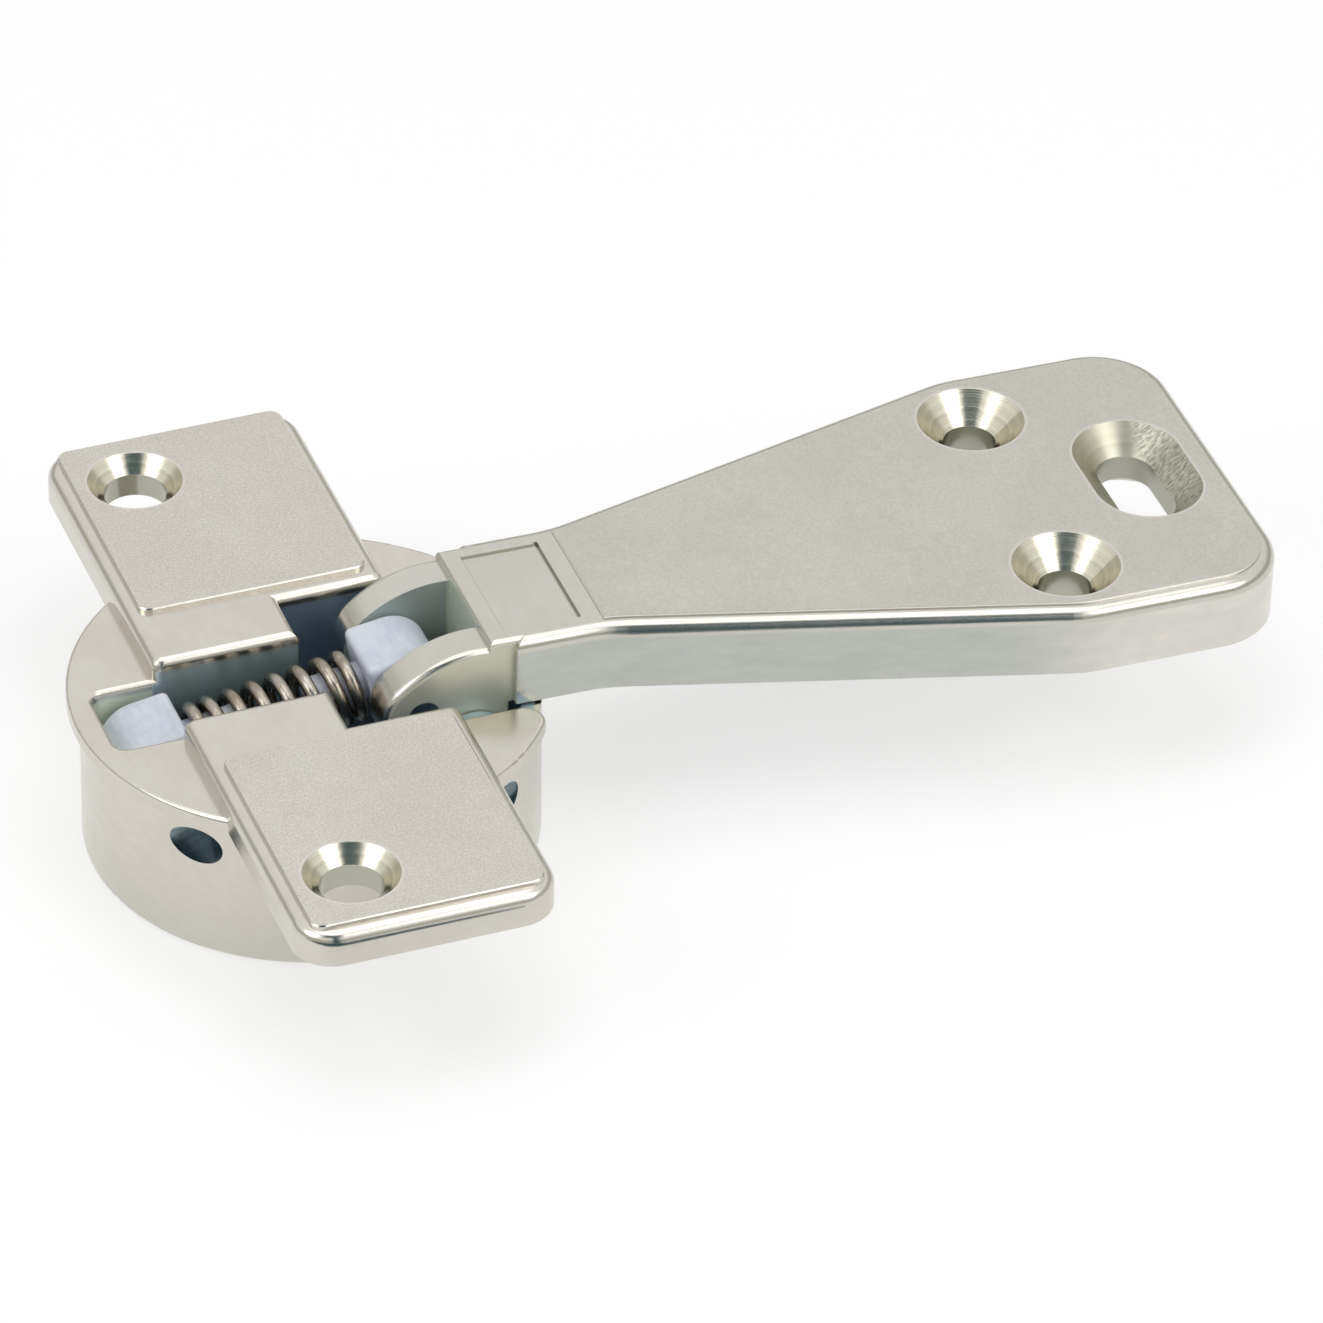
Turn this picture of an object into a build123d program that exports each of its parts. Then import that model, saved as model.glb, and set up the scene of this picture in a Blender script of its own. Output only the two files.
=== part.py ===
from build123d import *
import math
import os

# Sprung cabinet hinge, shown opened flat: a cast cup with two wings that drops into the door,
# and a cast arm that is screwed to the cabinet. A coil spring between two nylon seats holds
# the arm open, and past its dead centre pulls the arm shut.
# Millimetres. Origin on the cup axis at the door face, +Z out of the door,
# +X from the cup towards the arm plate, +Y along the wings.

# Cup
cup_radius = 17.5
cup_depth = 12.65
cup_bottom_round = 0.6
floor_thickness = 1.25
rear_wall = 1.1
front_wall = 1.5
lip_overhang = 1.0
lip_thickness = 1.1
lip_edge_round = 0.35
lip_corner_round = 1.6
pocket_corner = 1.0
pocket_rim_round = 0.45

# Wings on the door face
wing_width = 20.3
wing_shift = -1.2
wing_span = 65.0
wing_thickness = 2.8
wing_corner = 3.2
wing_edge_round = 1.0
wing_inner_round = 0.7
pad_inset = 1.05
pad_height = 0.4
pad_inner_y = 9.7
pad_corner = 1.0
pad_edge = 0.12
wing_screw_spacing = 52.0
wing_screw_x = -5.5
wing_screw_hole = 4.9
wing_screw_head = 7.4

# Pins
pin_diameter = 3.0
follower_pin_diameter = 2.5
press_clearance = 0.01
running_clearance = 0.05
pin_recess = 0.2

# Pivots, down from the door face
pivot_drop = 3.3
anchor_drop = 2.85
follower_back = 3.85
follower_rise = 3.55

# Nylon spring seats
seat_shoulder = 0.1
seat_nose_radius = 3.1
seat_face_distance = 2.9
seat_wall_gap = 0.4
seat_stub_length = 4.5
seat_stub_tip = 0.4
seat_edge_round = 0.5
stub_clearance = 0.2
trough_side_gap = 0.6

# Coil spring
spring_diameter = 5.8
spring_wire = 1.05
spring_active_turns = 6
spring_end_gap = 0.05
spring_seat_gap = 0.1

# Arm
arm_droop = 1.3
arm_rise = 3.5
arm_thickness = 5.7
field_height = 0.2
fork_side_gap = 0.15
ear_thickness = 3.15
slot_side_gap = 2.1
slot_step_x = 0.25
thrust_gap = 0.15
knuckle_radius = 3.2
knuckle_front_gap = 2.1
neck_start = 1.3
neck_side_start = 3.3
neck_side_step = 0.57
neck_round = 0.5
ear_crown_angle = 135.0
ear_crown_drop = 1.0
ear_edge_round = 0.6
flare_start = 10.5
flare_length = 35.4
plate_length = 17.1
plate_width = 32.4
plate_corner = 5.8
flare_inner_bend = 12.0
flare_outer_bend = 9.0
arm_edge_round = 1.0
field_inset = 1.05
field_edge = 0.1
panel_start = 2.75
panel_length = 6.25
panel_width = 10.1
panel_depth = 0.3
stop_gap = 0.15

# Arm screw holes
arm_screw_spacing = 20.0
arm_screw_from_end = 16.6
arm_screw_hole = 4.1
arm_screw_head = 8.4
slot_from_end = 6.7
slot_travel = 4.4
slot_width = 4.5
slot_head = 8.5
slot_hollow_width = 9.2
slot_hollow_depth = 1.8

# How far cuts run past a surface, and how near two points are to count as one
cut_margin = 1.0
same_place = 0.01

# Sizes that follow from those above
lip_radius = cup_radius + lip_overhang
floor_z = floor_thickness - cup_depth
pin_radius = pin_diameter / 2
seat_width = spring_diameter + 2 * seat_shoulder
fork_gap_half = seat_width / 2 + fork_side_gap
fork_half = fork_gap_half + ear_thickness
slot_half = fork_half + slot_side_gap
trough_half = seat_width / 2 + trough_side_gap
pocket_end = rear_wall - cup_radius
well_radius = cup_radius - front_wall
anchor_x = pocket_end + seat_wall_gap + seat_nose_radius
anchor_z = -anchor_drop
pivot_x = well_radius - knuckle_front_gap - knuckle_radius
pivot_z = -pivot_drop
arm_bottom = pivot_z + arm_rise
arm_top = arm_bottom + arm_thickness
neck_half = fork_half + neck_side_step
plate_end = flare_start + flare_length + plate_length
pivot_axis = Axis((pivot_x, 0, pivot_z), (0, 1, 0))
through = 4 * cup_radius


def drooped(x, z):
    """Where a point of the level arm lies with the arm resting on its open stop."""
    angle = math.radians(arm_droop)
    dx = x - pivot_x
    dz = z - pivot_z
    return (
        pivot_x + dx * math.cos(angle) + dz * math.sin(angle),
        pivot_z - dx * math.sin(angle) + dz * math.cos(angle),
    )


follower_level = (pivot_x - follower_back, pivot_z + follower_rise)
follower_x, follower_z = drooped(*follower_level)
spring_line_x = follower_x - anchor_x
spring_line_z = follower_z - anchor_z
spring_line = math.hypot(spring_line_x, spring_line_z)
spring_tilt = math.degrees(math.atan2(spring_line_z, spring_line_x))
stop_z = drooped(cup_radius, arm_bottom)[1] - stop_gap


def cross_pin(x, z, radius, half_length):
    """A round bar across the hinge, along Y."""
    return Pos(x, 0, z) * Rot(90, 0, 0) * Cylinder(radius, 2 * half_length)


def side_block(profile, y_low, y_high):
    """A profile drawn in X and Z, given its thickness along Y."""
    return Pos(0, y_high, 0) * extrude(Plane.XZ * profile, y_high - y_low)


def countersink(hole, head, surface_z, depth):
    """A through hole with a 90 degree seat for a flat screw head, cut down from surface_z."""
    sink = (head - hole) / 2
    shank = Pos(0, 0, surface_z - depth / 2) * Cylinder(hole / 2, depth + 2 * cut_margin)
    cone = Pos(0, 0, surface_z - sink / 2) * Cone(hole / 2, head / 2, sink)
    return shank + cone


def wings():
    """The flat bar across the cup, with a raised pad on each wing."""
    outline = Pos(wing_shift, 0) * RectangleRounded(wing_width, wing_span, wing_corner)
    bar = extrude(outline, wing_thickness)
    bar = fillet(bar.faces().sort_by(Axis.Z)[-1].edges(), wing_edge_round)
    pad_outer_y = wing_span / 2 - pad_inset
    pad_y = (pad_outer_y + pad_inner_y) / 2
    pad = extrude(
        RectangleRounded(wing_width - 2 * pad_inset, pad_outer_y - pad_inner_y, pad_corner),
        pad_height + wing_thickness / 2,
    )
    pad = chamfer(pad.faces().sort_by(Axis.Z)[-1].edges(), pad_edge)
    for side in (-1, 1):
        bar += Pos(wing_shift, side * pad_y, wing_thickness / 2) * pad
    return bar


def spring_trough():
    """The well that holds the spring, and swallows the fork when the arm shuts."""
    height = cup_depth + wing_thickness + pad_height
    narrow_length = slot_step_x + trough_half - pocket_end
    narrow = Rectangle(narrow_length, 2 * trough_half, align=(Align.MIN, Align.CENTER))
    narrow = fillet(narrow.vertices().sort_by(Axis.X)[:2], pocket_corner)
    wide = Rectangle(cup_radius, 2 * slot_half, align=(Align.MIN, Align.CENTER))
    wide = Pos(slot_step_x, 0) * wide & Circle(well_radius)
    return Pos(0, 0, floor_z) * extrude(Pos(pocket_end, 0) * narrow + wide, height)


def lip():
    """The disc on the door face, open at the front where the arm's neck passes."""
    disc = Cylinder(lip_radius, lip_thickness, align=(Align.CENTER, Align.CENTER, Align.MIN))
    disc -= front_opening(-lip_thickness)
    mouth = disc.edges().filter_by(Axis.Z).sort_by(Axis.X)[-2:]
    disc = fillet(mouth, lip_corner_round)
    return fillet(disc.faces().sort_by(Axis.Z)[-1].edges(), lip_edge_round)


def front_opening(low_z):
    """The way out of the cup for the neck, from low_z upwards."""
    return Pos(slot_step_x, 0, low_z) * Box(
        2 * lip_radius, 2 * slot_half, through, align=(Align.MIN, Align.CENTER, Align.MIN)
    )


def cup_casting():
    """Cup, lip and wings in one casting."""
    cup = Cylinder(cup_radius, cup_depth, align=(Align.CENTER, Align.CENTER, Align.MAX))
    cup = fillet(cup.faces().sort_by(Axis.Z)[0].edges(), cup_bottom_round)
    body = cup + lip() + wings()
    body -= spring_trough()
    body -= front_opening(stop_z)
    wing_top = body.edges().filter_by(GeomType.LINE).filter_by_position(
        Axis.Z, wing_thickness - same_place, wing_thickness + same_place
    )
    rim_half = slot_half + same_place
    body = fillet(wing_top.filter_by_position(Axis.Y, -rim_half, rim_half), wing_inner_round)
    lip_top = body.edges().filter_by_position(
        Axis.Z, lip_thickness - same_place, lip_thickness + same_place
    )
    pocket_half = trough_half + same_place
    pocket_rim = lip_top.filter_by_position(Axis.Y, -pocket_half, pocket_half).filter_by_position(
        Axis.X, pocket_end - same_place, wing_shift - wing_width / 2
    )
    body = fillet(pocket_rim, pocket_rim_round)
    boss_inner = fork_half + thrust_gap
    boss_length = slot_half + press_clearance - boss_inner
    for side in (-1, 1):
        boss = Rot(90, 0, 0) * Cylinder(knuckle_radius, boss_length)
        body += Pos(pivot_x, side * (boss_inner + boss_length / 2), pivot_z) * boss
    hole_radius = pin_radius + press_clearance
    body -= cross_pin(pivot_x, pivot_z, hole_radius, through)
    body -= cross_pin(anchor_x, anchor_z, hole_radius, through)
    pad_top = wing_thickness + pad_height
    screw = countersink(wing_screw_hole, wing_screw_head, pad_top, pad_top)
    for side in (-1, 1):
        body -= Pos(wing_screw_x, side * wing_screw_spacing / 2, 0) * screw
    return body


def wall_pin(x, z):
    """A pin pressed into both cup walls, with its ends just below the round wall."""
    half_length = math.sqrt(cup_radius**2 - (abs(x) + pin_radius) ** 2) - pin_recess
    return cross_pin(x, z, pin_radius, half_length)


def plate_outline():
    """Neck, flare and plate seen from above, measured from the pivot."""
    flare_end = flare_start + flare_length
    plate_half = plate_width / 2
    upper = [
        (neck_side_start, neck_half),
        (flare_start, neck_half),
        (flare_end, plate_half),
        (plate_end, plate_half),
    ]
    lower = [(x, -y) for x, y in reversed(upper)]
    outline = make_face(Polyline(*upper, *lower, close=True))

    def corners_at(x):
        return outline.vertices().filter_by_position(Axis.X, x - same_place, x + same_place)

    outline = fillet(corners_at(flare_start), flare_inner_bend)
    outline = fillet(corners_at(flare_end), flare_outer_bend)
    return fillet(corners_at(plate_end), plate_corner)


def fork_ears():
    """Two ears that carry the follower pin, turn on the hinge pin and run into the neck."""
    pivot = Vector(pivot_x, pivot_z)
    follower = Vector(*follower_level)
    underside = math.degrees(math.atan2(pivot_z - follower.Y, pivot_x - follower.X)) - 90
    nose_turn = ear_crown_angle - 360 - underside
    nose = CenterArc(follower, knuckle_radius, underside, nose_turn)
    heel = CenterArc(pivot, knuckle_radius, 0, underside)
    crown_end = Vector(pivot_x + knuckle_radius, arm_top - ear_crown_drop)
    crown = TangentArc(nose @ 1, crown_end, tangent=nose % 1)
    profile = make_face([crown, Line(crown_end, heel @ 0), heel, Line(heel @ 1, nose @ 0), nose])
    ear = side_block(profile, fork_gap_half, fork_half)
    ear = fillet(ear.faces().sort_by(Axis.Y)[-1].edges().filter_by(GeomType.CIRCLE), ear_edge_round)
    return ear + mirror(ear, Plane.XZ)


def hinge_arm():
    """Fork, neck, flare and plate in one casting, resting on the open stop."""
    outline = plate_outline()
    level = Pos(pivot_x, 0, arm_bottom)
    body = level * extrude(outline, arm_thickness)
    body = fillet(body.faces().sort_by(Axis.Z)[-1].edges(), arm_edge_round)
    bridge = Pos(pivot_x + neck_start, 0, arm_bottom) * Box(
        panel_start + panel_length - neck_start,
        2 * fork_half,
        arm_thickness,
        align=(Align.MIN, Align.CENTER, Align.MIN),
    )
    bridge_top = bridge.faces().sort_by(Axis.Z)[-1].edges()
    bridge = fillet(bridge_top.sort_by(Axis.X)[:-1], neck_round)
    body += bridge
    field = offset(outline, -field_inset, kind=Kind.INTERSECTION)
    field &= Pos(flare_start, 0) * Rectangle(
        plate_end, 2 * plate_width, align=(Align.MIN, Align.CENTER)
    )
    raised = extrude(field, field_height + arm_thickness / 2)
    raised = chamfer(raised.faces().sort_by(Axis.Z)[-1].edges(), field_edge)
    body += Pos(pivot_x, 0, arm_top - arm_thickness / 2) * raised
    body -= Pos(pivot_x + panel_start, 0, arm_top) * Box(
        panel_length, panel_width, 2 * panel_depth, align=(Align.MIN, Align.CENTER, Align.CENTER)
    )
    body += fork_ears()
    body -= cross_pin(pivot_x, pivot_z, pin_radius + running_clearance, through)
    body -= cross_pin(*follower_level, follower_pin_diameter / 2 + press_clearance, through)
    surface = arm_top + field_height
    depth = arm_thickness + field_height
    screw = countersink(arm_screw_hole, arm_screw_head, surface, depth)
    screw_x = pivot_x + plate_end - arm_screw_from_end
    for side in (-1, 1):
        body -= Pos(screw_x, side * arm_screw_spacing / 2, 0) * screw
    body -= Pos(pivot_x + plate_end - slot_from_end, 0, 0) * slotted_seat(surface, depth)
    return body.rotate(pivot_axis, arm_droop)


def slotted_seat(surface_z, depth):
    """The adjusting slot across the plate, countersunk all round and hollow underneath."""
    sink = (slot_head - slot_width) / 2
    slot = SlotCenterToCenter(slot_travel, slot_width, rotation=90)
    head = SlotCenterToCenter(slot_travel, slot_head, rotation=90)
    below = Pos(0, 0, surface_z - depth - cut_margin)
    shank = below * extrude(slot, depth + 2 * cut_margin)
    seat = loft([Pos(0, 0, surface_z - sink) * slot, Pos(0, 0, surface_z) * head])
    hollow = SlotCenterToCenter(slot_travel, slot_hollow_width, rotation=90)
    return shank + seat + below * extrude(hollow, slot_hollow_depth + cut_margin)


def follower_pin():
    """The pin across the fork that the front seat turns on."""
    pin = cross_pin(*follower_level, follower_pin_diameter / 2, fork_half - pin_recess)
    return pin.rotate(pivot_axis, arm_droop)


def spring_seat(bore_diameter):
    """A nylon seat on its pin at the origin, with its spring stub along +X."""
    height = 2 * seat_nose_radius
    square = Rectangle(seat_face_distance, height, align=(Align.MIN, Align.CENTER))
    behind_face = Rectangle(2 * height, height, align=(Align.MAX, Align.CENTER))
    block = (Circle(seat_nose_radius) + square) & Pos(seat_face_distance, 0) * behind_face
    seat = side_block(block, -seat_width / 2, seat_width / 2)
    sides = seat.faces().sort_by(Axis.Y)
    front = seat.faces().sort_by(Axis.X)[-1]
    corners = ShapeList(sides[0].edges() + sides[-1].edges())
    corners += front.edges().filter_by(Axis.Y)
    seat = fillet(corners, seat_edge_round)
    stub_radius = spring_diameter / 2 - spring_wire - stub_clearance
    stub = Cylinder(stub_radius, seat_stub_length, align=(Align.CENTER, Align.CENTER, Align.MIN))
    stub = chamfer(stub.faces().sort_by(Axis.Z)[-1].edges(), seat_stub_tip)
    seat += Pos(seat_face_distance, 0, 0) * Rot(0, 90, 0) * stub
    return seat - cross_pin(0, 0, bore_diameter / 2 + running_clearance, seat_width)


def on_spring_line(shape):
    """Turn a shape made along +X from the anchor pin into the line of the spring."""
    return Pos(anchor_x, 0, anchor_z) * Rot(0, -spring_tilt, 0) * shape


def facing_back(shape):
    """Turn a shape made along +X from the follower pin round to face the anchor pin."""
    return Pos(spring_line, 0, 0) * Rot(0, 180, 0) * shape


def coil_spring():
    """Round wire wound with closed ends, between the two seat faces."""
    coil_radius = (spring_diameter - spring_wire) / 2
    length = spring_line - 2 * (seat_face_distance + spring_seat_gap)
    end_pitch = spring_wire + spring_end_gap
    active_length = length - spring_wire - 2 * end_pitch
    pitch = active_length / spring_active_turns
    lower = Helix(end_pitch, end_pitch, coil_radius)
    middle = Pos(0, 0, end_pitch) * Helix(pitch, active_length, coil_radius)
    upper = Pos(0, 0, end_pitch + active_length) * Helix(end_pitch, end_pitch, coil_radius)
    path = Wire([lower, middle, upper])
    section = Plane(path @ 0, z_dir=path % 0) * Circle(spring_wire / 2)
    coil = sweep(section, path, is_frenet=True)
    start = seat_face_distance + spring_seat_gap + spring_wire / 2
    return on_spring_line(Pos(start, 0, 0) * Rot(0, 90, 0) * coil)


pieces = {
    "cup_casting": cup_casting(),
    "hinge_arm": hinge_arm(),
    "hinge_pin": wall_pin(pivot_x, pivot_z),
    "spring_anchor_pin": wall_pin(anchor_x, anchor_z),
    "follower_pin": follower_pin(),
    "rear_spring_seat": on_spring_line(spring_seat(pin_diameter)),
    "front_spring_seat": on_spring_line(facing_back(spring_seat(follower_pin_diameter))),
    "coil_spring": coil_spring(),
}

os.makedirs("parts", exist_ok=True)
for name, piece in pieces.items():
    export_step(piece, f"parts/{name}.step")
    print(name, round(piece.volume, 2))
print("pivot", pivot_x, pivot_z)
print("anchor", anchor_x, anchor_z)
print("follower", follower_x, follower_z)
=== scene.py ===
import math
import bpy
from mathutils import Matrix, Vector

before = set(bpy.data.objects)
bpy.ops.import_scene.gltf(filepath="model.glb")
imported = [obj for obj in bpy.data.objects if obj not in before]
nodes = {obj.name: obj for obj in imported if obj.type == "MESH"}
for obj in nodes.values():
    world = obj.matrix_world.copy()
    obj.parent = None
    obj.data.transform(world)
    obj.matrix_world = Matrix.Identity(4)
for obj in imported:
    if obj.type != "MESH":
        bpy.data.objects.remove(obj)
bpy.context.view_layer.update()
print("hinge frame loaded:", ", ".join(sorted(nodes)))

mm = 0.001
white = (1, 1, 1, 1)


# small helpers for node trees

def newGroup(name, inputs, outputs):
    tree = bpy.data.node_groups.new(name, "ShaderNodeTree")
    for label, kind, value in inputs:
        socket = tree.interface.new_socket(name=label, in_out="INPUT", socket_type=kind)
        if value is not None:
            socket.default_value = value
    for label, kind in outputs:
        tree.interface.new_socket(name=label, in_out="OUTPUT", socket_type=kind)
    return tree, tree.nodes.new("NodeGroupInput"), tree.nodes.new("NodeGroupOutput")


def put(tree, value, socket):
    if isinstance(value, bpy.types.NodeSocket):
        tree.links.new(value, socket)
    elif value is not None:
        socket.default_value = value


def calc(tree, operation, a, b=None, c=None):
    node = tree.nodes.new("ShaderNodeMath")
    node.operation = operation
    for value, socket in zip((a, b, c), node.inputs):
        put(tree, value, socket)
    return node.outputs[0]


def times(tree, product, *others):
    for other in others:
        product = calc(tree, "MULTIPLY", product, other)
    return product


def minus(tree, a, b):
    return calc(tree, "SUBTRACT", a, b)


def unsigned(tree, value):
    return calc(tree, "ABSOLUTE", value)


def distance(tree, a, b):
    return calc(tree, "SQRT", calc(tree, "MULTIPLY_ADD", a, a, times(tree, b, b)))


def ramp(tree, value, low, high, toLow=0.0, toHigh=1.0):
    node = tree.nodes.new("ShaderNodeMapRange")
    node.interpolation_type = "SMOOTHSTEP"
    put(tree, value, node.inputs["Value"])
    put(tree, low, node.inputs["From Min"])
    put(tree, high, node.inputs["From Max"])
    put(tree, toLow, node.inputs["To Min"])
    put(tree, toHigh, node.inputs["To Max"])
    return node.outputs["Result"]


def upTo(tree, value, limit, soft):
    # 1 below the limit, 0 above it
    return ramp(tree, value, limit, limit + soft, 1.0, 0.0)


def noise(tree, vector, scale, detail=2.0, rough=0.5):
    node = tree.nodes.new("ShaderNodeTexNoise")
    put(tree, vector, node.inputs["Vector"])
    put(tree, scale, node.inputs["Scale"])
    node.inputs["Detail"].default_value = detail
    node.inputs["Roughness"].default_value = rough
    return node.outputs["Fac"]


def stretch(tree, vector, scale=(1, 1, 1), turn=(0, 0, 0), shift=(0, 0, 0)):
    node = tree.nodes.new("ShaderNodeMapping")
    put(tree, vector, node.inputs["Vector"])
    node.inputs["Scale"].default_value = scale
    node.inputs["Rotation"].default_value = turn
    node.inputs["Location"].default_value = shift
    return node.outputs["Vector"]


def split(tree, vector):
    node = tree.nodes.new("ShaderNodeSeparateXYZ")
    put(tree, vector, node.inputs[0])
    return node.outputs


def blend(tree, kind, share, a, b, mode="MIX"):
    node = tree.nodes.new("ShaderNodeMix")
    node.data_type = kind
    node.blend_type = mode
    put(tree, share, node.inputs["Factor"])
    put(tree, a, node.inputs["A"])
    put(tree, b, node.inputs["B"])
    return node.outputs["Result"]


def blendColour(tree, share, a, b):
    return blend(tree, "RGBA", share, a, b)


def blendValue(tree, share, a, b):
    return blend(tree, "FLOAT", share, a, b)


def toned(tree, colour, tone):
    return blend(tree, "RGBA", 1.0, colour, tone, "MULTIPLY")


def place(tree, group, **values):
    node = tree.nodes.new("ShaderNodeGroup")
    node.node_tree = group
    for label, value in values.items():
        put(tree, value, node.inputs[label])
    return node.outputs


def newMaterial(name):
    material = bpy.data.materials.new(name)
    material.use_nodes = True
    tree = material.node_tree
    shader = next(n for n in tree.nodes if n.type == "BSDF_PRINCIPLED")
    here = tree.nodes.new("ShaderNodeTexCoord").outputs["Object"]
    return material, tree, shader, here


def emptyMaterial(name):
    material = bpy.data.materials.new(name)
    material.use_nodes = True
    material.node_tree.nodes.clear()
    return material, material.node_tree


def bump(tree, shader, height, depth):
    node = tree.nodes.new("ShaderNodeBump")
    node.inputs["Distance"].default_value = depth
    put(tree, height, node.inputs["Height"])
    put(tree, node.outputs["Normal"], shader.inputs["Normal"])


# shared finishes

noiseMiddle = (0.35, 0.65)  # where most of a noise lies

sandLook = {
    "clumpScale": 0.2,  # against the scale of the grain
    "shadeSpan": (0.38, 0.78),
}

sheenLook = {
    "fineScale": 9.0,  # against the scale of the slow patches
    "fineStretch": (1.0, 0.35, 1.0),
    "fineShare": 0.3,
    "slowShare": 0.7,
    "middle": 0.5,
    "smearSpan": (0.38, 0.62),
}

seatCut = {
    "rimSoft": 0.06 * mm,
    "topSoft": 0.03 * mm,
    "floorSpan": (-0.06 * mm, -0.02 * mm),
    "boreSpan": (-0.02 * mm, 0.06 * mm),
    "rimHighlightMiddle": 0.06 * mm,  # outside the rim
    "rimHighlightSpan": (0.05 * mm, 0.2 * mm),
    "rimHighlightDepth": (0.1 * mm, 0.25 * mm),
    "rimHighlightShare": 0.6,
    "ringScale": 3600.0,
}

lineLook = {
    "secondScale": 3.1,  # against the scale of the first lines
    "secondShare": 0.4,
}


def makeSandGrain(cfg):
    # fine blasted pits, with coarser clumps so that it doesn't look like even static
    tree, given, out = newGroup(
        "sandGrain",
        [
            ("Vector", "NodeSocketVector", None),
            ("Grain", "NodeSocketFloat", 5600.0),
            ("Clump", "NodeSocketFloat", 0.1),
        ],
        [("Height", "NodeSocketFloat"), ("Shade", "NodeSocketFloat")],
    )
    vector, grain = given.outputs["Vector"], given.outputs["Grain"]
    fine = noise(tree, vector, grain)
    clump = noise(tree, vector, times(tree, grain, cfg["clumpScale"]))
    height = calc(tree, "MULTIPLY_ADD", clump, given.outputs["Clump"], fine)
    put(tree, height, out.inputs["Height"])
    put(tree, ramp(tree, height, *cfg["shadeSpan"]), out.inputs["Shade"])
    return tree


def makeHandledSheen(cfg):
    # uneven plating and faint smears: a slow change of gloss with a fine one on top
    tree, given, out = newGroup(
        "handledSheen",
        [
            ("Vector", "NodeSocketVector", None),
            ("Patch", "NodeSocketFloat", 160.0),
            ("Base", "NodeSocketFloat", 0.3),
            ("Spread", "NodeSocketFloat", 0.12),
        ],
        [("Roughness", "NodeSocketFloat"), ("Smear", "NodeSocketFloat")],
    )
    vector, patch = given.outputs["Vector"], given.outputs["Patch"]
    slow = noise(tree, vector, patch, detail=3.0, rough=0.55)
    drawn = stretch(tree, vector, cfg["fineStretch"])
    fine = noise(tree, drawn, times(tree, patch, cfg["fineScale"]), rough=0.6)
    smear = calc(tree, "MULTIPLY_ADD", fine, cfg["fineShare"], times(tree, slow, cfg["slowShare"]))
    offset = minus(tree, smear, cfg["middle"])
    rough = calc(tree, "MULTIPLY_ADD", offset, given.outputs["Spread"], given.outputs["Base"])
    put(tree, rough, out.inputs["Roughness"])
    put(tree, ramp(tree, smear, *cfg["smearSpan"]), out.inputs["Smear"])
    return tree


def makeTurnedSeat(cfg):
    # a screw seat cut by a rotary tool: mask inside its rim, and rings round its axis
    tree, given, out = newGroup(
        "turnedSeat",
        [
            ("Vector", "NodeSocketVector", None),
            ("Rim", "NodeSocketFloat", 3.7 * mm),
            ("Slot", "NodeSocketFloat", 0.0),
            ("Top", "NodeSocketFloat", 0.0),
            ("Sink", "NodeSocketFloat", 1.25 * mm),
            ("Floor", "NodeSocketFloat", 3.2 * mm),
        ],
        [
            ("Mask", "NodeSocketFloat"), ("Rings", "NodeSocketFloat"),
            ("RimHighlight", "NodeSocketFloat"), ("Bore", "NodeSocketFloat"),
        ],
    )
    asked = given.outputs
    x, y, z = split(tree, asked["Vector"])
    # a slot is a round seat drawn out along Y
    beyond = calc(tree, "MAXIMUM", minus(tree, unsigned(tree, y), asked["Slot"]), 0.0)
    radius = distance(tree, x, beyond)
    past = minus(tree, radius, asked["Rim"])
    depth = minus(tree, asked["Top"], z)
    # the underside round the hole stays plain
    above = ramp(tree, minus(tree, depth, asked["Floor"]), *cfg["floorSpan"], 1.0, 0.0)
    inside = times(tree, ramp(tree, past, 0.0, -cfg["rimSoft"]), above)
    below = ramp(tree, depth, 0.0, cfg["topSoft"])
    put(tree, times(tree, inside, below), out.inputs["Mask"])
    # painted highlight: a bright band just round the rim
    fromRimHighlight = unsigned(tree, minus(tree, past, cfg["rimHighlightMiddle"]))
    rimHighlight = ramp(tree, fromRimHighlight, *cfg["rimHighlightSpan"], 1.0, 0.0)
    shallow = ramp(tree, depth, *cfg["rimHighlightDepth"], 1.0, 0.0)
    put(tree, times(tree, rimHighlight, shallow, cfg["rimHighlightShare"]), out.inputs["RimHighlight"])
    bored = ramp(tree, minus(tree, depth, asked["Sink"]), *cfg["boreSpan"])
    put(tree, times(tree, inside, bored), out.inputs["Bore"])
    along = tree.nodes.new("ShaderNodeCombineXYZ")
    put(tree, radius, along.inputs["X"])
    rings = noise(tree, along.outputs[0], cfg["ringScale"], detail=3.0, rough=0.6)
    put(tree, rings, out.inputs["Rings"])
    return tree


def makeDrawnLines(cfg):
    # long scratches along the piece, from the die or the draw plate
    tree, given, out = newGroup(
        "drawnLines",
        [("Vector", "NodeSocketVector", None), ("Lines", "NodeSocketFloat", 900.0)],
        [("Height", "NodeSocketFloat")],
    )
    vector, lines = given.outputs["Vector"], given.outputs["Lines"]
    first = noise(tree, vector, lines, detail=3.0, rough=0.6)
    second = noise(tree, vector, times(tree, lines, cfg["secondScale"]), detail=1.0)
    height = calc(tree, "MULTIPLY_ADD", second, cfg["secondShare"], first)
    put(tree, height, out.inputs["Height"])
    return tree


sandGrain = makeSandGrain(sandLook)
handledSheen = makeHandledSheen(sheenLook)
turnedSeat = makeTurnedSeat(seatCut)
drawnLines = makeDrawnLines(lineLook)
print("finishes ready: grain, sheen, turned seats, drawn lines")


# nickel plating, as both castings have it

nickel = {
    "seatTint": (0.635, 0.605, 0.495, 1),
    "rimHighlightTint": (0.7, 0.675, 0.625, 1),
    "holeShadeTint": (0.42, 0.42, 0.35, 1),
    "rough": 0.22,
    "seatRough": 0.2,
    "sheenSpread": 0.14,
    "ringTone": (0.86, 1.1),
    "topSpan": (-0.03 * mm, -0.005 * mm),  # where a flat top's own finish sets in
    "skinScale": 420.0,
    "skinShare": 0.35,
    "ringShare": 0.5,
    "bumpDepth": 0.03 * mm,
}


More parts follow.
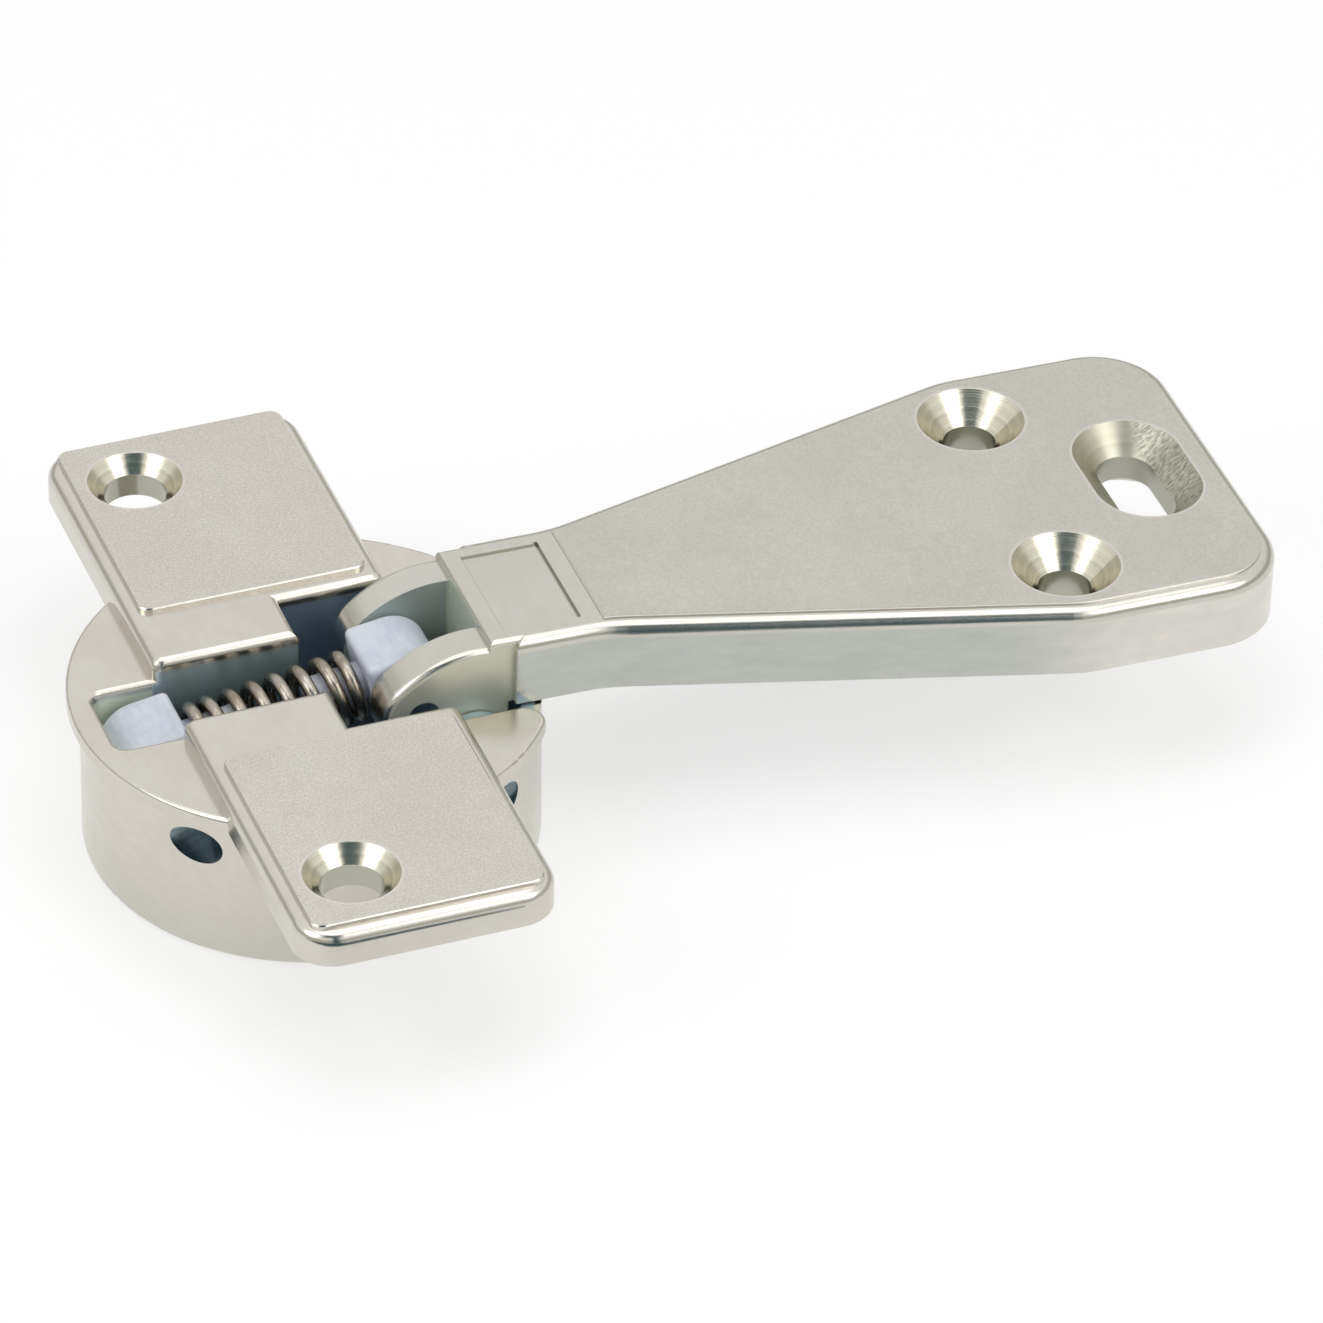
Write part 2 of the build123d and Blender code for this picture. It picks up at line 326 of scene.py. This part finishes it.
def flatTop(tree, z, top):
    low, high = nickel["topSpan"]
    return ramp(tree, z, top + low, top + high)


def screwAxes(tree, cfg, x, y, z):
    # the pair of screw holes folded onto one, measured from its axis
    axes = tree.nodes.new("ShaderNodeCombineXYZ")
    put(tree, minus(tree, x, cfg["screwX"]), axes.inputs["X"])
    put(tree, minus(tree, unsigned(tree, y), cfg["screwY"]), axes.inputs["Y"])
    put(tree, z, axes.inputs["Z"])
    return axes.outputs[0]


def nickelSheen(tree, cfg, here):
    return place(
        tree, handledSheen, Vector=here, Patch=cfg["patchScale"],
        Base=nickel["rough"], Spread=nickel["sheenSpread"],
    )


def nickelShade(tree, cfg, sheen, grain, grainMask, seat, recessMask):
    seatMask = seat["Mask"]
    plain = blendColour(tree, sheen["Smear"], cfg["plate"], cfg["warm"])
    tone = calc(tree, "MULTIPLY_ADD", grain["Shade"], cfg["grainDepth"], cfg["grainBase"])
    pitted = blendColour(tree, grainMask, plain, toned(tree, plain, tone))
    # painted highlight round each seat's rim
    rimLit = blendColour(tree, seat["RimHighlight"], pitted, nickel["rimHighlightTint"])
    ringTone = ramp(tree, seat["Rings"], *noiseMiddle, *nickel["ringTone"])
    turned = blendColour(tree, seatMask, rimLit, toned(tree, nickel["seatTint"], ringTone))
    # painted shade down the bore of each hole
    turned = blendColour(tree, seat["Bore"], turned, nickel["holeShadeTint"])
    # painted shade in the recess
    colour = blendColour(tree, recessMask, turned, cfg["recessShadeTint"])
    level = blendValue(tree, grainMask, nickel["rough"], cfg["padRough"])
    level = blendValue(tree, seatMask, level, nickel["seatRough"])
    level = blendValue(tree, recessMask, level, cfg["recessRough"])
    rough = calc(tree, "ADD", level, minus(tree, sheen["Roughness"], nickel["rough"]))
    metal = blendValue(tree, recessMask, 1.0, cfg["recessMetal"])
    return colour, rough, metal


def nickelSkin(tree, cfg, here, grain, grainMask, seat):
    # casting skin: slow waves everywhere, pits on the flat tops, rings in the screw seats
    waves = noise(tree, here, nickel["skinScale"], detail=3.0, rough=0.6)
    skin = times(tree, waves, nickel["skinShare"])
    pits = times(tree, grain["Height"], times(tree, grainMask, cfg["pitShare"]))
    rings = times(tree, seat["Rings"], times(tree, seat["Mask"], nickel["ringShare"]))
    return calc(tree, "ADD", skin, calc(tree, "ADD", pits, rings))


# the cup

cupNickel = {
    "node": "cup_casting",
    "plate": (0.635, 0.61, 0.555, 1),
    "warm": (0.61, 0.58, 0.52, 1),
    "recessShadeTint": (0.42, 0.54, 0.57, 1),
    "wellShadeTint": (0.32, 0.42, 0.58, 1),
    "pocketLightTint": (0.88, 0.92, 0.78, 1),
    "boreShadeTint": (0.2, 0.26, 0.285, 1),
    "footShadeTint": (0.56, 0.56, 0.49, 1),
    "recessMetal": 0.7,
    "padRough": 0.42,
    "recessRough": 0.38,
    "patchScale": 160.0,
    "grainScale": 5600.0,
    "grainClump": 0.06,
    "grainDepth": 0.22,
    "grainBase": 0.895,
    "pitShare": 0.5,
    "padTop": 3.2 * mm,
    "screwX": -5.5 * mm,
    "screwY": 26.0 * mm,
    "screwRim": 3.7 * mm,
    "screwSink": 1.25 * mm,
    "screwFloor": 3.2 * mm,
    "troughHalf": 3.6 * mm,
    "wellHalf": 8.4 * mm,
    "wellStart": 0.25 * mm,
    "wellRadius": 16.9 * mm,
    "wellFade": 1.0 * mm,
    "wingLeft": -11.35 * mm,
    "pocketRim": 0.6 * mm,
    "troughRim": 2.05 * mm,
    "rimFade": 0.5 * mm,
    "floorSpan": (-12.1 * mm, -11.9 * mm),
    "wallLip": 0.02 * mm,
    "wallSoft": 0.06 * mm,
    "startSpan": (-0.1 * mm, -0.03 * mm),
    "radiusSoft": 0.2 * mm,
    "rimSoft": 0.05 * mm,
    "pocketSoft": 0.1 * mm,
    "footZ": -12.6 * mm,
    "footFade": 6.5 * mm,
    "footShadeShare": 0.35,
    "pins": ((-12.9 * mm, -2.85 * mm), (10.7 * mm, -3.3 * mm)),
    "pinRadius": 1.51 * mm,
    "pinLip": 0.005 * mm,
    "pinSoft": 0.03 * mm,
}


def cupRecess(tree, cfg, x, y, z):
    # mask of the trough and the well, where painted shade makes the colour darker and bluer; the
    # metal is also rougher and less metallic there
    side = unsigned(tree, y)
    start, wing = cfg["wellStart"], cfg["wingLeft"]
    well = times(
        tree, upTo(tree, side, cfg["wellHalf"] + cfg["wallLip"], cfg["wallSoft"]),
        ramp(tree, x, start + cfg["startSpan"][0], start + cfg["startSpan"][1]),
    )
    trough = upTo(tree, side, cfg["troughHalf"] + cfg["wallLip"], cfg["wallSoft"])
    within = upTo(tree, distance(tree, x, y), cfg["wellRadius"], cfg["radiusSoft"])
    plan = times(tree, calc(tree, "MAXIMUM", well, trough), within)
    rim = ramp(tree, x, wing - cfg["rimSoft"], wing, cfg["pocketRim"], cfg["troughRim"])
    deep = ramp(tree, minus(tree, z, rim), -cfg["rimFade"], 0.0, 1.0, 0.0)
    return times(tree, plan, deep, ramp(tree, z, *cfg["floorSpan"]))


def pinBores(tree, cfg, x, z):
    # painted shade: the bores round both cross pins are coloured dark
    mask = 0.0
    for pinX, pinZ in cfg["pins"]:
        reach = distance(tree, minus(tree, x, pinX), minus(tree, z, pinZ))
        bore = upTo(tree, reach, cfg["pinRadius"] + cfg["pinLip"], cfg["pinSoft"])
        mask = calc(tree, "MAXIMUM", mask, bore)
    return mask


def finishCup(cfg):
    material, tree, shader, here = newMaterial("cupNickel")
    x, y, z = split(tree, here)
    grainMask = flatTop(tree, z, cfg["padTop"])
    seat = place(
        tree, turnedSeat, Vector=screwAxes(tree, cfg, x, y, z), Rim=cfg["screwRim"],
        Top=cfg["padTop"], Sink=cfg["screwSink"], Floor=cfg["screwFloor"],
    )
    grain = place(tree, sandGrain, Vector=here, Grain=cfg["grainScale"], Clump=cfg["grainClump"])
    sheen = nickelSheen(tree, cfg, here)
    recess = cupRecess(tree, cfg, x, y, z)
    colour, rough, metal = nickelShade(tree, cfg, sheen, grain, grainMask, seat, recess)
    put(tree, rough, shader.inputs["Roughness"])
    put(tree, metal, shader.inputs["Metallic"])
    # painted shade: the well is coloured bluer towards its side walls
    nearWall = ramp(tree, unsigned(tree, y), cfg["wellHalf"] - cfg["wellFade"], cfg["wellHalf"])
    colour = blendColour(tree, times(tree, recess, nearWall), colour, cfg["wellShadeTint"])
    # painted light: the pocket at the back of the trough is coloured paler than the rest of the
    # recess
    behind = upTo(tree, x, cfg["wingLeft"] - cfg["pocketSoft"], 2 * cfg["pocketSoft"])
    colour = blendColour(tree, times(tree, recess, behind), colour, cfg["pocketLightTint"])
    # painted shade: the wall is coloured darker towards its foot
    footShade = times(tree, upTo(tree, z, cfg["footZ"], cfg["footFade"]), cfg["footShadeShare"])
    colour = blendColour(tree, footShade, colour, cfg["footShadeTint"])
    # painted shade in the bores round the cross pins
    colour = blendColour(tree, pinBores(tree, cfg, x, z), colour, cfg["boreShadeTint"])
    put(tree, colour, shader.inputs["Base Color"])
    height = nickelSkin(tree, cfg, here, grain, grainMask, seat)
    bump(tree, shader, height, nickel["bumpDepth"])
    nodes[cfg["node"]].data.materials[0] = material


finishCup(cupNickel)
print("cup plated")


# the arm, in its own level axes from the hinge pin

armNickel = {
    "node": "hinge_arm",
    "pivot": (10.7 * mm, -3.3 * mm),
    "droop": math.radians(1.3),
    "plate": (0.59, 0.578, 0.53, 1),
    "warm": (0.565, 0.548, 0.497, 1),
    "recessShadeTint": (0.42, 0.475, 0.445, 1),
    "recessMetal": 0.5,
    "padRough": 0.4,
    "recessRough": 0.5,
    "patchScale": 140.0,
    "grainScale": 3900.0,
    "grainClump": 0.16,
    "grainDepth": 0.1,
    "grainBase": 0.92,
    "pitShare": 0.6,
    # raised field
    "fieldTop": 9.4 * mm,
    "fieldBevel": 0.1 * mm,
    "bevelSoft": 0.02 * mm,
    "bevelTop": 0.03 * mm,
    "fieldEdgeRough": 0.55,
    # sides
    "flareSideShadeTint": (0.475, 0.49, 0.455, 1),
    "plateSideLightTint": (0.68, 0.655, 0.61, 1),
    "sideTop": 8.0 * mm,
    "sideSoft": 0.3 * mm,
    "sideStart": (3.2 * mm, 3.4 * mm),
    "plateStart": (38.0 * mm, 52.0 * mm),
    "streakStretch": (0.4, 0.4, 1.0),
    "streakScale": 500.0,
    "streakSpan": (0.4, 1.0),
    "streakTone": (0.95, 1.05),
    # sunk panel
    "panelX": 5.875 * mm,
    "panelHalf": (3.125 * mm, 5.05 * mm),
    "panelSpan": (8.5 * mm, 8.6 * mm),
    "panelTop": 9.0 * mm,
    "panelSoft": 0.12 * mm,
    "panelShadeTint": (0.3, 0.315, 0.28, 1),
    "panelShadeSpan": (-0.3 * mm, -0.02 * mm),
    "panelShadeLip": 0.01 * mm,
    "panelShadeSoft": 0.02 * mm,
    "panelShadeShare": 0.75,
    # fork
    "forkGap": 3.15 * mm,
    "forkEnd": 1.3 * mm,
    "gapLip": 0.02 * mm,
    "gapSoft": 0.05 * mm,
    "gapEndSoft": 0.1 * mm,
    "endSpan": (-0.3 * mm, -0.05 * mm),
    "gapEndLightTint": (0.62, 0.66, 0.57, 1),
    "earLightTint": (0.72, 0.715, 0.585, 1),
    "earHalf": 6.3 * mm,
    "earSpan": (-0.12 * mm, -0.02 * mm),
    "earEnd": 3.33 * mm,
    "earEndSoft": 0.04 * mm,
    "earRough": 0.42,
    "earMetal": 0.45,
    # screw holes
    "screwX": 46.4 * mm,
    "screwY": 10.0 * mm,
    "screwRim": 4.2 * mm,
    "screwSink": 2.15 * mm,
    "screwFloor": 5.9 * mm,
    # adjusting slot
    "slotX": 56.3 * mm,
    "slotHalf": 2.2 * mm,
    "slotRim": 4.25 * mm,
    "slotSink": 2.0 * mm,
    "slotFloor": 4.1 * mm,
    "slotRough": 0.36,
    "slotShadeTint": (0.36, 0.35, 0.275, 1),
    "slotShadeShare": 0.55,
    "tornTint": (0.44, 0.435, 0.365, 1),
    "tornStart": (1.3 * mm, 2.3 * mm),
    "tornStretch": (0.22, 1.0, 0.22),
    "tornTurn": math.radians(14),
    "tornScale": 8200.0,
    "tornTone": (0.68, 1.32),
    "tornRough": 0.5,
    "tornShare": 0.07,
}


def panelCornerShade(tree, cfg, x, y, z):
    # painted shade in the corner all round the sunk panel
    halfX, halfY = cfg["panelHalf"]
    pastX = minus(tree, unsigned(tree, minus(tree, x, cfg["panelX"])), halfX)
    pastY = minus(tree, unsigned(tree, y), halfY)
    past = calc(tree, "MAXIMUM", pastX, pastY)
    return times(
        tree, ramp(tree, past, *cfg["panelShadeSpan"]),
        upTo(tree, past, cfg["panelShadeLip"], cfg["panelShadeSoft"]),
        upTo(tree, z, cfg["panelTop"], cfg["panelSoft"]),
        ramp(tree, z, *cfg["panelSpan"]), cfg["panelShadeShare"],
    )


def finishArm(cfg):
    material, tree, shader, here = newMaterial("armNickel")
    turn = Matrix.Rotation(-cfg["droop"], 3, "Y")
    shift = turn @ Vector((-cfg["pivot"][0], 0, -cfg["pivot"][1]))
    level = stretch(tree, here, turn=(0, -cfg["droop"], 0), shift=tuple(shift))
    x, y, z = split(tree, level)
    side = unsigned(tree, y)
    top, end, half = cfg["fieldTop"], cfg["forkEnd"], cfg["earHalf"]
    grainMask = flatTop(tree, z, top)
    screw = place(
        tree, turnedSeat, Vector=screwAxes(tree, cfg, x, y, z), Rim=cfg["screwRim"],
        Top=top, Sink=cfg["screwSink"], Floor=cfg["screwFloor"],
    )
    slotAxes = stretch(tree, level, shift=(-cfg["slotX"], 0, 0))
    slot = place(
        tree, turnedSeat, Vector=slotAxes, Rim=cfg["slotRim"], Slot=cfg["slotHalf"],
        Top=top, Sink=cfg["slotSink"], Floor=cfg["slotFloor"],
    )
    seat = {
        part: calc(tree, "MAXIMUM", screw[part], slot[part]) for part in ("Mask", "RimHighlight", "Bore")
    }
    seat["Rings"] = blendValue(tree, slot["Mask"], screw["Rings"], slot["Rings"])
    offSeat = minus(tree, 1.0, seat["Mask"])
    grain = place(tree, sandGrain, Vector=here, Grain=cfg["grainScale"], Clump=cfg["grainClump"])
    sheen = nickelSheen(tree, cfg, here)
    # painted shade between the fork's ears, and painted light making the wall at its end paler
    gap = times(
        tree, upTo(tree, side, cfg["forkGap"] + cfg["gapLip"], cfg["gapSoft"]),
        upTo(tree, x, end, cfg["gapEndSoft"]),
    )
    colour, rough, metal = nickelShade(tree, cfg, sheen, grain, grainMask, seat, gap)
    nearEnd = ramp(tree, x, end + cfg["endSpan"][0], end + cfg["endSpan"][1])
    colour = blendColour(tree, times(tree, gap, nearEnd), colour, cfg["gapEndLightTint"])
    # the outer sides of the fork's ears are rougher and less metallic, and coloured paler as
    # painted light
    ear = times(
        tree, ramp(tree, side, half + cfg["earSpan"][0], half + cfg["earSpan"][1]),
        upTo(tree, x, cfg["earEnd"], cfg["earEndSoft"]),
    )
    colour = blendColour(tree, ear, colour, cfg["earLightTint"])
    rough = blendValue(tree, ear, rough, cfg["earRough"])
    put(tree, blendValue(tree, ear, metal, cfg["earMetal"]), shader.inputs["Metallic"])
    # painted shade: the slot's seat is coloured darker than the screw seats
    darker = times(tree, minus(tree, slot["Mask"], slot["Bore"]), cfg["slotShadeShare"])
    colour = blendColour(tree, darker, colour, cfg["slotShadeTint"])
    # painted highlight: a bright band along the edge of the raised field, which is also rougher
    # there
    bevel = top - cfg["fieldBevel"]
    fieldEdgeHighlight = times(
        tree, ramp(tree, z, bevel, bevel + cfg["bevelSoft"]),
        upTo(tree, z, top - cfg["bevelTop"], cfg["bevelSoft"]), offSeat,
    )
    colour = blendColour(tree, fieldEdgeHighlight, colour, nickel["rimHighlightTint"])
    rough = blendValue(tree, fieldEdgeHighlight, rough, cfg["fieldEdgeRough"])
    # painted light and shade on the sides: darkest along the flare and paler towards the plate,
    # with faint cloudy streaks
    flank = times(
        tree, upTo(tree, z, cfg["sideTop"], cfg["sideSoft"]),
        ramp(tree, x, *cfg["sideStart"]), offSeat,
    )
    streakAxes = stretch(tree, level, cfg["streakStretch"])
    lines = place(tree, drawnLines, Vector=streakAxes, Lines=cfg["streakScale"])
    sideLightShade = ramp(tree, x, *cfg["plateStart"])
    sideLightShade = blendColour(tree, sideLightShade, cfg["flareSideShadeTint"], cfg["plateSideLightTint"])
    streaks = ramp(tree, lines["Height"], *cfg["streakSpan"], *cfg["streakTone"])
    colour = blendColour(tree, flank, colour, toned(tree, sideLightShade, streaks))
    # painted shade in the corner round the sunk panel
    colour = blendColour(tree, panelCornerShade(tree, cfg, x, y, z), colour, cfg["panelShadeTint"])
    # the tool tore the metal along one side of the slot, in short slanting marks
    oneSide = ramp(tree, split(tree, slotAxes)["X"], *cfg["tornStart"])
    tornSide = times(tree, oneSide, slot["Mask"], minus(tree, 1.0, slot["Bore"]))
    tornAxes = stretch(tree, slotAxes, cfg["tornStretch"], (0, 0, cfg["tornTurn"]))
    torn = noise(tree, tornAxes, cfg["tornScale"], rough=0.55)
    tornTone = ramp(tree, torn, *noiseMiddle, *cfg["tornTone"])
    colour = blendColour(tree, tornSide, colour, toned(tree, cfg["tornTint"], tornTone))
    put(tree, colour, shader.inputs["Base Color"])
    rough = blendValue(tree, slot["Mask"], rough, cfg["slotRough"])
    rough = blendValue(tree, tornSide, rough, cfg["tornRough"])
    put(tree, rough, shader.inputs["Roughness"])
    skin = nickelSkin(tree, cfg, here, grain, grainMask, screw)
    marks = times(tree, torn, times(tree, tornSide, cfg["tornShare"]))
    bump(tree, shader, calc(tree, "ADD", skin, marks), nickel["bumpDepth"])
    nodes[cfg["node"]].data.materials[0] = material


finishArm(armNickel)
print("arm plated")


# oiled steel pins and the spring's wire

pinSteel = {
    "nodes": ("hinge_pin", "spring_anchor_pin", "follower_pin"),
    "bright": (0.28, 0.33, 0.355, 1),
    "darker": (0.15, 0.2, 0.21, 1),
    "rough": 0.36,
    "patchScale": 500.0,
    "sheenSpread": 0.2,
    "lineStretch": (1, 0.04, 1),
    "lineScale": 2400.0,
    "lineDepth": 0.015 * mm,
}

springWire = {
    "nodes": ("coil_spring",),
    "bright": (0.4, 0.375, 0.335, 1),
    "darker": (0.29, 0.25, 0.195, 1),
    "rough": 0.26,
    "patchScale": 420.0,
    "sheenSpread": 0.18,
    "lineStretch": (1, 0.12, 0.12),
    "lineScale": 3000.0,
    "lineDepth": 0.012 * mm,
}


def finishSteel(name, cfg):
    material, tree, shader, here = newMaterial(name)
    sheen = place(
        tree, handledSheen, Vector=here, Patch=cfg["patchScale"],
        Base=cfg["rough"], Spread=cfg["sheenSpread"],
    )
    lineAxes = stretch(tree, here, cfg["lineStretch"])
    lines = place(tree, drawnLines, Vector=lineAxes, Lines=cfg["lineScale"])
    colour = blendColour(tree, sheen["Smear"], cfg["bright"], cfg["darker"])
    put(tree, colour, shader.inputs["Base Color"])
    put(tree, sheen["Roughness"], shader.inputs["Roughness"])
    shader.inputs["Metallic"].default_value = 1.0
    bump(tree, shader, lines["Height"], cfg["lineDepth"])
    for node in cfg["nodes"]:
        nodes[node].data.materials[0] = material


finishSteel("pinSteel", pinSteel)
finishSteel("springWire", springWire)
print("pins and spring finished")


# nylon seats

seatNylon = {
    "nodes": ("rear_spring_seat", "front_spring_seat"),
    "nylon": (0.76, 0.795, 0.87, 1),
    "shade": (0.64, 0.675, 0.76, 1),
    "rough": 0.42,
    "patchScale": 260.0,
    "sheenSpread": 0.16,
    "glowShare": 0.6,
    "glowRadius": (1.0, 1.0, 1.2),
    "glowDepth": 1.2 * mm,
    "skinScale": 1500.0,
    "skinDepth": 0.012 * mm,
}


def finishSeats(cfg):
    material, tree, shader, here = newMaterial("seatNylon")
    sheen = place(
        tree, handledSheen, Vector=here, Patch=cfg["patchScale"],
        Base=cfg["rough"], Spread=cfg["sheenSpread"],
    )
    colour = blendColour(tree, sheen["Smear"], cfg["nylon"], cfg["shade"])
    put(tree, colour, shader.inputs["Base Color"])
    put(tree, sheen["Roughness"], shader.inputs["Roughness"])
    shader.inputs["Subsurface Weight"].default_value = cfg["glowShare"]
    shader.inputs["Subsurface Radius"].default_value = cfg["glowRadius"]
    shader.inputs["Subsurface Scale"].default_value = cfg["glowDepth"]
    skin = noise(tree, here, cfg["skinScale"], detail=3.0, rough=0.55)
    bump(tree, shader, skin, cfg["skinDepth"])
    for node in cfg["nodes"]:
        nodes[node].data.materials[0] = material


finishSeats(seatNylon)
print("nylon seats finished")


# camera, at the place that the photo was taken from

photoCamera = {
    "azimuth": math.radians(20.453),
    "elevation": math.radians(36.824),
    "roll": math.radians(0.747),
    "focalPixels": 11023.69,
    "imagePixels": 1323,
    "right": 26.533 * mm,
    "up": 2.214 * mm,
    "distance": 833.14 * mm,
    "sensorWidth": 36.0,
    "clip": (0.05, 20.0),
}


def placeCamera(cfg):
    a, e, r = cfg["azimuth"], cfg["elevation"], cfg["roll"]
    forward = Vector((math.sin(a) * math.cos(e), math.cos(a) * math.cos(e), -math.sin(e)))
    levelRight = Vector((math.cos(a), -math.sin(a), 0))
    levelUp = levelRight.cross(forward)
    right = levelRight * math.cos(r) + levelUp * math.sin(r)
    up = levelUp * math.cos(r) - levelRight * math.sin(r)
    bpy.ops.object.camera_add()
    camera = bpy.context.object
    camera.name = "photoCamera"
    turn = Matrix((right, up, -forward)).transposed().to_4x4()
    spot = right * cfg["right"] + up * cfg["up"] - forward * cfg["distance"]
    camera.matrix_world = Matrix.Translation(spot) @ turn
    camera.data.sensor_width = cfg["sensorWidth"]
    camera.data.lens = cfg["sensorWidth"] * cfg["focalPixels"] / cfg["imagePixels"]
    camera.data.clip_start, camera.data.clip_end = cfg["clip"]
    bpy.context.scene.camera = camera


placeCamera(photoCamera)
print("camera placed")


# white table, soft lamps, and cards that only the metal sees: dark flags on the camera's side,
# a dark cloth on the table in front of it, and a low grey and a high bright band all round

studio = {
    "tableZ": -12.66 * mm,
    "tableHalf": 4.0,
    "tableColour": (0.5, 0.5, 0.5, 1),
    "tableLift": 0.6,
    "worldFill": 0.38,
    "domeCentre": (0.027, 0, 0),
    "domeCuts": (144, 90),
    "domes": (
        # name, radius, turn from the front towards -X, rise, colour
        ("highFlag", 0.9, (-9, 48), (45, 64), (0.02, 0.07, 0.095, 1)),
        ("edgeFlag", 0.9, (0, 20), (-1, 45), (0.02, 0.07, 0.095, 1)),
        ("greyBand", 0.95, (-180, 180), (-1, 23), (0.55, 0.555, 0.5, 1)),
        ("brightBand", 0.95, (-180, 180), (64, 84), (2.1, 2.1, 2.07, 1)),
    ),
    "firstBounce": 1.5,  # a glossy depth above this is a second bounce
    "clothX": (-0.5, 0.015),
    "clothY": (-0.75, -0.056),
    "clothLift": 0.5 * mm,
    "clothColour": (0.02, 0.07, 0.09, 1),
    "lamps": (
        # name, place, aim, width, power, and whether the metal mirrors it
        ("overheadLamp", (0.027, 0.0, 0.75), (0.027, 0.0, 0), 0.7, 1.75, False),
        ("leftBox", (-0.52, -0.1, 0.44), (0, 0, 0), 0.42, 0.82, True),
        ("rightBox", (0.35, -0.42, 0.46), (0, 0, 0), 0.42, 0.82, True),
    ),
}


def lookedAt(tree):
    # 1 where the camera sees it, also in metal or through glass
    seen = tree.nodes.new("ShaderNodeLightPath").outputs
    looked = calc(tree, "MAXIMUM", seen["Is Camera Ray"], seen["Is Glossy Ray"])
    return calc(tree, "MAXIMUM", looked, seen["Is Transmission Ray"])


def buildTable(cfg):
    bpy.ops.object.select_all(action="DESELECT")
    bpy.ops.mesh.primitive_plane_add(size=2 * cfg["tableHalf"], location=(0, 0, cfg["tableZ"]))
    table = bpy.context.object
    table.name = "table"
    material, tree = emptyMaterial("tableWhite")
    diffuse = tree.nodes.new("ShaderNodeBsdfDiffuse")
    diffuse.inputs["Color"].default_value = cfg["tableColour"]
    glow = tree.nodes.new("ShaderNodeEmission")
    put(tree, times(tree, lookedAt(tree), cfg["tableLift"]), glow.inputs["Strength"])
    both = tree.nodes.new("ShaderNodeAddShader")
    put(tree, diffuse.outputs[0], both.inputs[0])
    put(tree, glow.outputs[0], both.inputs[1])
    put(tree, both.outputs[0], tree.nodes.new("ShaderNodeOutputMaterial").inputs["Surface"])
    table.data.materials.append(material)


def onlyForMetal(card, colour, cfg):
    material, tree = emptyMaterial(card.name + "Cloth")
    cloth = tree.nodes.new("ShaderNodeEmission")
    # a second bounce sees the white room instead
    bounces = tree.nodes.new("ShaderNodeLightPath").outputs["Glossy Depth"]
    again = calc(tree, "GREATER_THAN", bounces, cfg["firstBounce"])
    put(tree, blendColour(tree, again, colour, white), cloth.inputs["Color"])
    put(tree, cloth.outputs[0], tree.nodes.new("ShaderNodeOutputMaterial").inputs["Surface"])
    card.data.materials.append(material)
    card.visible_camera = False
    card.visible_diffuse = False
    card.visible_shadow = False
    card.visible_transmission = False


def hangDome(cfg, name, radius, turnSpan, riseSpan, colour):
    segments, rings = cfg["domeCuts"]
    bpy.ops.object.select_all(action="DESELECT")
    bpy.ops.mesh.primitive_uv_sphere_add(
        segments=segments, ring_count=rings, radius=radius, location=cfg["domeCentre"],
    )
    dome = bpy.context.object
    dome.name = name
    bpy.ops.object.mode_set(mode="EDIT")
    bpy.ops.mesh.select_all(action="DESELECT")
    bpy.ops.object.mode_set(mode="OBJECT")
    # keep only the part of the dome within both spans
    for face in dome.data.polygons:
        middle = face.center
        turn = math.degrees(math.atan2(-middle.x, -middle.y))
        rise = math.degrees(math.asin(middle.z / middle.length))
        kept = turnSpan[0] < turn < turnSpan[1] and riseSpan[0] < rise < riseSpan[1]
        face.select = not kept
    bpy.ops.object.mode_set(mode="EDIT")
    bpy.ops.mesh.delete(type="FACE")
    bpy.ops.object.mode_set(mode="OBJECT")
    onlyForMetal(dome, colour, cfg)


def layCloth(cfg):
    (left, right), (front, back) = cfg["clothX"], cfg["clothY"]
    height = cfg["tableZ"] + cfg["clothLift"]
    bpy.ops.object.select_all(action="DESELECT")
    bpy.ops.mesh.primitive_plane_add(
        size=1, location=((left + right) / 2, (front + back) / 2, height),
    )
    cloth = bpy.context.object
    cloth.name = "darkCloth"
    cloth.scale = (right - left, back - front, 1)
    onlyForMetal(cloth, cfg["clothColour"], cfg)


def hangLamp(name, spot, target, size, power, shine):
    bpy.ops.object.light_add(type="AREA", location=spot)
    lamp = bpy.context.object
    lamp.name = name
    aim = Vector(target) - Vector(spot)
    lamp.rotation_euler = aim.to_track_quat("-Z", "Y").to_euler()
    lamp.data.shape = "DISK"
    lamp.data.size = size
    lamp.data.energy = power
    lamp.visible_glossy = shine


def lightRoom(cfg):
    world = bpy.data.worlds.new("whiteRoom")
    world.use_nodes = True
    tree = world.node_tree
    background = tree.nodes["Background"]
    strength = blendValue(tree, lookedAt(tree), cfg["worldFill"], 1.0)
    put(tree, strength, background.inputs["Strength"])
    background.inputs["Color"].default_value = white
    bpy.context.scene.world = world
    for lamp in cfg["lamps"]:
        hangLamp(*lamp)


buildTable(studio)
for dome in studio["domes"]:
    hangDome(studio, *dome)
layCloth(studio)
lightRoom(studio)
bpy.context.scene.view_settings.view_transform = "Standard"
print("studio ready")
